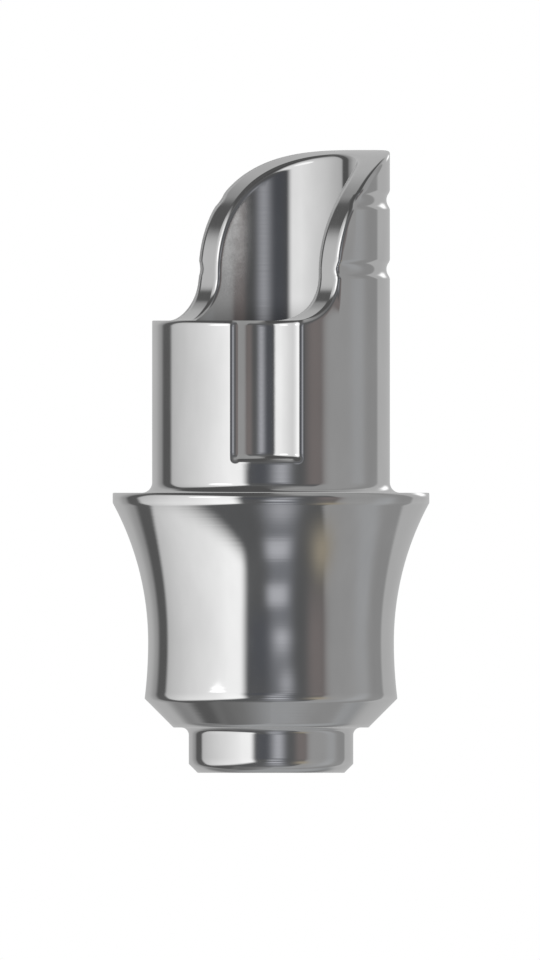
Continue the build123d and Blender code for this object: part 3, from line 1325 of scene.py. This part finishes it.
def fade(value: Array, low: float, high: float, soft: float, soft_high: float | None = None) -> Array:
    """1 between two limits and 0 outside, with smooth steps of width soft centred on them."""
    rise = np.clip((value - low) / soft + 0.5, 0, 1)
    fall = np.clip((high - value) / (soft_high or soft) + 0.5, 0, 1)
    return rise * rise * (3 - 2 * rise) * fall * fall * (3 - 2 * fall)


# Tints, as red, green and blue
NEUTRAL: Triple = (1.0, 1.0, 1.0)
COLD: Triple = (0.98, 1.0, 1.02)
COOL: Triple = (0.985, 1.0, 1.02)
BLUISH: Triple = (0.985, 1.0, 1.065)
BLUE_SHADE: Triple = (0.97, 1.0, 1.09)
DEEP_BLUE: Triple = (0.955, 1.0, 1.115)
BROWNISH: Triple = (1.10, 0.98, 0.96)
YELLOWISH: Triple = (1.15, 1.02, 0.80)


class EvenLight:
    """A part of the studio's surround that is equally bright all over."""

    def light(self, bearing: Array, elevation: Array) -> Array:
        """Its brightness in each direction."""
        return np.full(bearing.shape, self.level)


@dataclass(frozen=True)
class Screen(EvenLight):
    """A part of the surround between two bearings and two elevations, in degrees.

    Bearings are counted to the right from the direction towards the camera.
    """

    left: float
    right: float
    low: float
    high: float
    level: float
    soft: float = 6.0
    soft_right: float = 6.0
    soft_up: float = 10.0
    tint: Triple = NEUTRAL

    def cover(self, bearing: Array, elevation: Array) -> Array:
        """How much of the surround it covers in each direction."""
        half = (self.right - self.left) / 2
        turn = turn_from(bearing, (self.left + self.right) / 2)
        return (fade(turn, -half, half, self.soft, self.soft_right)
                * fade(elevation, self.low, self.high, self.soft_up))


@dataclass(frozen=True)
class Softbox:
    """A flat rectangular softbox that faces the abutment.

    left, right, bottom and top are its edges divided by its distance, and its brightness runs
    through levels from its left edge to its right one. Below its middle they lean to the left by
    lean times the way down, and within settling of upright the lean dies out.
    """

    bearing: float
    left: float
    right: float
    bottom: float
    top: float
    levels: tuple[float, ...]
    soft_left: float = 0.19
    soft_right: float = 0.36
    soft_up: float = 0.45
    lean: float = 0.44
    upright: float = 0.40
    settling: float = 0.7
    edge_on: float = 0.05
    out_of_sight: float = 99.0
    tint: Triple = NEUTRAL

    def across(self, bearing: Array, elevation: Array) -> tuple[Array, Array]:
        """Where each direction meets its plane: tan(turn) and tan(elevation) / cos(turn)."""
        turn = np.radians(turn_from(bearing, self.bearing))
        ahead = np.cos(turn) > self.edge_on
        safe = np.where(ahead, turn, 0)
        rise = np.tan(np.radians(np.clip(elevation, -89, 89))) / np.cos(safe)
        return tuple(np.where(ahead, place, self.out_of_sight) for place in (np.tan(safe), rise))

    def cover(self, bearing: Array, elevation: Array) -> Array:
        """How much of the surround it covers in each direction."""
        p, q = self.across(bearing, elevation)
        return (fade(p, self.left, self.right, self.soft_left, self.soft_right)
                * fade(q, self.bottom, self.top, self.soft_up))

    def light(self, bearing: Array, elevation: Array) -> Array:
        """Its brightness in each direction."""
        p, q = self.across(bearing, elevation)
        shifted = p + self.lean * np.clip(-q, 0, 1) * np.clip((self.upright - p) / self.settling, 0, 1)
        return np.interp(shifted, np.linspace(self.left, self.right, len(self.levels)), self.levels)


@dataclass(frozen=True)
class Lamp(EvenLight):
    """A round soft lamp: its light falls off as exp(-(distance / size)^power)."""

    bearing: float
    elevation: float
    width: float
    height: float
    level: float
    power: float = 2.0
    tint: Triple = NEUTRAL

    def cover(self, bearing: Array, elevation: Array) -> Array:
        """How much of the surround it covers in each direction."""
        across = np.abs(turn_from(bearing, self.bearing)) * np.cos(np.radians(elevation)) / self.width
        up = np.abs(elevation - self.elevation) / self.height
        return np.exp(-(across**self.power + up**self.power))


@dataclass(frozen=True)
class Studio:
    """The room round the abutment: a dome that only its reflections see, and a pale floor.

    back is the dome's own brightness. Each part of surround is laid over the ones before it. The
    disc is a bright round lamp, with its middle and its half sizes in degrees.
    """

    radius: float = 0.35
    floor_side: float = 0.9
    floor_grey: float = 0.86
    floor_light: float = 0.75
    back: float = 0.52
    surround: tuple[Screen | Softbox | Lamp, ...] = (
        # Below and overhead
        Screen(-200, 200, -95, -40, 0.40, tint=COLD),
        Screen(-200, 200, 46, 95, 0.39, soft_up=20),
        # Shade that the bevel mirrors
        Screen(-150, 3, -84, -38, 0.21, soft=30, soft_right=30, soft_up=22),
        Screen(-150, 3, -68, -38, 0.15, soft=30, soft_right=30, soft_up=20),
        # Right of the camera
        Screen(51, 126, -70, 95, 0.365, soft_up=30),
        Lamp(95, -22, 11, 34, 0.42, power=3, tint=COOL),
        Screen(105, 126, -95, 95, 0.32, soft=18),
        # Behind the part, and to its left
        Lamp(180, -42, 28, 7, 0.20),
        Screen(-141, -80, -62, 42, 0.33, soft=22),
        Screen(-131, -80, -62, 42, 0.12, soft=8),
        # The dark gap ahead, and the dark ceiling that the crown's edge mirrors
        Screen(-70, 51, -68, 46, 0.12, soft_up=30, tint=COOL),
        Screen(-195, 14, 40, 95, 0.10, soft=40, soft_right=60),
        # The key light
        Softbox(-72, -0.90, 1.09, -0.965, 0.93, (0.58, 0.725, 0.925, 1.165, 1.20)),
        # A bluish glow beside the camera with a column of small lights in it
        Lamp(-8, 0, 14, 12, 0.105, power=3, tint=DEEP_BLUE),
        Lamp(9, -20, 11, 45, 0.225, power=3, tint=BLUE_SHADE),
        Lamp(14, 10.6, 7, 3.6, 0.42, tint=BLUISH),
        Lamp(10, -1, 8, 4.3, 0.52, tint=BLUISH),
        Lamp(6, -18, 9.5, 4.6, 0.54, power=3, tint=BLUISH),
        Lamp(6.5, -36.5, 9.5, 4.6, 0.54, power=3, tint=BLUISH),
        Lamp(10, -53, 9, 6, 0.42, tint=BLUISH),
        # Warm glows to the right of it
        Lamp(44, 2, 10, 22, 0.195, power=3, tint=BROWNISH),
        Lamp(48, -33, 9, 10, 0.32, tint=YELLOWISH),
        # A lamp behind the part, to the right
        Lamp(153.5, 18.5, 8, 7.5, 1.45, power=3),
    )
    disc_bearing: float = -51.5
    disc_elevation: float = 19.1
    disc_width: float = 12.5
    disc_height: float = 9.5
    disc_level: float = 1.5
    disc_distance: float = 0.95
    disc_sides: int = 128
    lamp_place: Triple = (-0.02, 0.01, 0.15)
    lamp_size: float = 0.12
    lamp_power: float = 0.05

    def dome(self) -> bpy.types.Object:
        """Makes the dome: a sphere of one-degree cells with its light as a colour attribute.

        Returns:
            The dome: points (cos e sin a, -cos e cos a, sin e) times the radius.
        """
        azimuth = np.radians(np.arange(0, 360, 1.0))
        elevation = np.radians(np.arange(-89.5, 90, 1.0))
        e, a = np.meshgrid(elevation, azimuth, indexing="ij")
        points = self.radius * lifted(polar(np.cos(e), a), np.sin(e))
        number = np.arange(a.size).reshape(a.shape)
        beside = np.roll(number, -1, axis=1)
        faces = np.stack([number[:-1], number[1:], beside[1:], beside[:-1]], axis=-1).reshape(-1, 4)
        mesh = bpy.data.meshes.new("studio_dome")
        caps = [number[0].tolist(), number[-1, ::-1].tolist()]
        mesh.from_pydata(points.reshape(-1, 3), [], [*faces.tolist(), *caps])
        bearing, height = np.degrees(a) - math.degrees(VIEW_AZIMUTH), np.degrees(e)
        colour = np.full((*a.shape, 3), self.back)
        for part in self.surround:
            cover = part.cover(bearing, height)[..., None]
            light = part.light(bearing, height)[..., None] * np.array(part.tint)
            colour = colour * (1 - cover) + light * cover
        return self.glowing("studio_dome", mesh, colour)

    def disc(self) -> bpy.types.Object:
        """Makes the bright round lamp, a flat ellipse that faces the abutment just inside the dome.

        Returns:
            The lamp: points round its middle, at tan(width) and tan(height) times its distance.
        """
        bearing, height = math.radians(self.disc_bearing), math.radians(self.disc_elevation)
        level = math.cos(bearing) * TO_CAMERA + math.sin(bearing) * TO_RIGHT
        aim = math.cos(height) * level + math.sin(height) * UP
        side = unit(np.cross(UP, aim))
        turn = np.linspace(0, 2 * math.pi, self.disc_sides, endpoint=False)[:, None]
        width, height = (math.tan(math.radians(size)) for size in (self.disc_width, self.disc_height))
        ring = width * np.cos(turn) * side + height * np.sin(turn) * np.cross(aim, side)
        mesh = bpy.data.meshes.new("round_lamp")
        sides = list(range(self.disc_sides))[::-1]
        mesh.from_pydata(self.disc_distance * self.radius * (aim + ring), [], [sides])
        return self.glowing("round_lamp", mesh, np.full((self.disc_sides, 3), self.disc_level))

    def glowing(self, name: str, mesh: bpy.types.Mesh, colour: Array) -> bpy.types.Object:
        """Makes an object that gives off light to reflections only.

        Args:
            name: the object's name.
            mesh: its mesh.
            colour: the red, green and blue that it gives off at each of its points.

        Returns:
            The object.
        """
        attribute = mesh.color_attributes.new("light", "FLOAT_COLOR", "POINT")
        attribute.data.foreach_set("color", lifted(colour, 1.0).astype(np.float32).ravel())
        material = bpy.data.materials.get("studio_light")
        if material is None:
            material = bpy.data.materials.new("studio_light")
            nodes = Nodes.of(material)
            light = nodes.add("ShaderNodeAttribute", attribute_name="light").outputs["Color"]
            emission = nodes.add("ShaderNodeEmission", {"Color": light, "Strength": 1.0})
            nodes.add("ShaderNodeOutputMaterial", {"Surface": emission.outputs[0]})
            material.cycles.emission_sampling = "NONE"
        mesh.materials.append(material)
        made = placed(name, mesh)
        made.visible_camera = made.visible_diffuse = made.visible_shadow = False
        made.visible_transmission = made.visible_volume_scatter = False
        return made

    def floor(self) -> bpy.types.Object:
        """Makes the pale floor at the spigot's end; from below it can be seen through."""
        half = self.floor_side / 2
        mesh = bpy.data.meshes.new("floor")
        corners = [(-half, -half, 0), (half, -half, 0), (half, half, 0), (-half, half, 0)]
        mesh.from_pydata(corners, [], [(0, 1, 2, 3)])
        material = bpy.data.materials.new("pale_floor")
        nodes = Nodes.of(material)
        matt = nodes.add("ShaderNodeBsdfDiffuse", {"Color": (*[self.floor_grey] * 3, 1.0)})
        clear = nodes.add("ShaderNodeBsdfTransparent")
        below = nodes.add("ShaderNodeNewGeometry").outputs["Backfacing"]
        mix = nodes.add("ShaderNodeMixShader", {0: below, 1: matt.outputs[0], 2: clear.outputs[0]})
        nodes.add("ShaderNodeOutputMaterial", {"Surface": mix.outputs[0]})
        mesh.materials.append(material)
        made = placed("floor", mesh)
        made.visible_glossy = False
        return made

    def world(self) -> None:
        """Makes the white background, which gives the floor its plain light."""
        world = bpy.data.worlds.new("white_surround")
        nodes = Nodes.of(world)
        path = nodes.add("ShaderNodeLightPath").outputs
        reflected = nodes.math("MAXIMUM", path["Is Glossy Ray"], path["Is Transmission Ray"])
        seen = nodes.math("MAXIMUM", path["Is Camera Ray"], reflected)
        strength = nodes.ramp(seen, 0.0, 1.0, self.floor_light, 1.0, "LINEAR")
        background = nodes.add("ShaderNodeBackground", {"Color": (1.0, 1.0, 1.0, 1.0), "Strength": strength})
        nodes.add("ShaderNodeOutputWorld", {"Surface": background.outputs[0]})
        bpy.context.scene.world = world

    def top_lamp(self) -> None:
        """Hangs a soft lamp overhead, aimed at the part, for the shadow on the floor."""
        data = bpy.data.lights.new("top_lamp", "AREA")
        data.shape = "DISK"
        data.size = self.lamp_size
        data.energy = self.lamp_power
        lamp = placed("top_lamp", data)
        lamp.location = self.lamp_place
        lamp.rotation_euler = (0.0, math.atan2(self.lamp_place[0], self.lamp_place[2]), 0.0)
        lamp.visible_glossy = False
        lamp.visible_camera = False

    def build(self) -> None:
        """Makes the whole studio."""
        self.dome()
        self.disc()
        self.floor()
        self.world()
        self.top_lamp()


def main() -> None:
    """Builds the abutment, its studio and the camera, and reports each piece."""
    metal = Abutment(Sizes.from_frame(frame["record"], "abutment")).build()
    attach(metal, "root")
    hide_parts("abutment")
    Metal().dress(metal)
    metal.visible_glossy = False
    LOG.info("%s: %d points, %d faces", metal.name, len(metal.data.vertices), len(metal.data.polygons))
    Studio().build()
    PhotoCamera().place()
    bpy.context.scene.view_settings.view_transform = "Standard"


if __name__ == "__main__":
    main()
